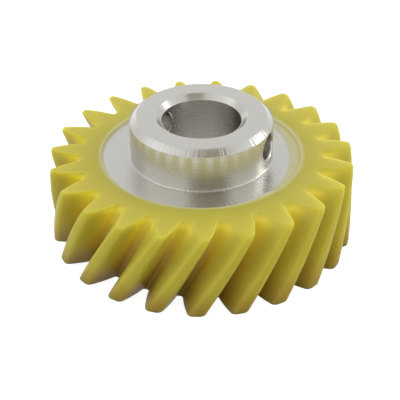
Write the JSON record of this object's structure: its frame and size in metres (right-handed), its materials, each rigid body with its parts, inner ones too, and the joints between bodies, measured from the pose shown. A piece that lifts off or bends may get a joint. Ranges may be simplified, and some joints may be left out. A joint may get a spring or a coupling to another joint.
{
  "type": "worm wheel",
  "caption": "Worm wheel with a helical toothed plastic rim moulded over an aluminium hub that has a central bore and a cross pin hole.",
  "frame": {"origin": "centre of the wheel's lower face, on the bore's axis", "axes": "+Z along the bore's axis, from the rim towards the boss; +X along the cross hole"},
  "size_m": [0.0435, 0.0435, 0.0184],
  "materials": {
    "turned_aluminium": "turned and left bare, fine tool marks",
    "moulded_nylon": "natural yellow nylon, satin and slightly translucent"
  },
  "bodies": {
    "root": {"hub": "turned_aluminium", "gear_rim": "moulded_nylon"}
  },
  "joints": []
}
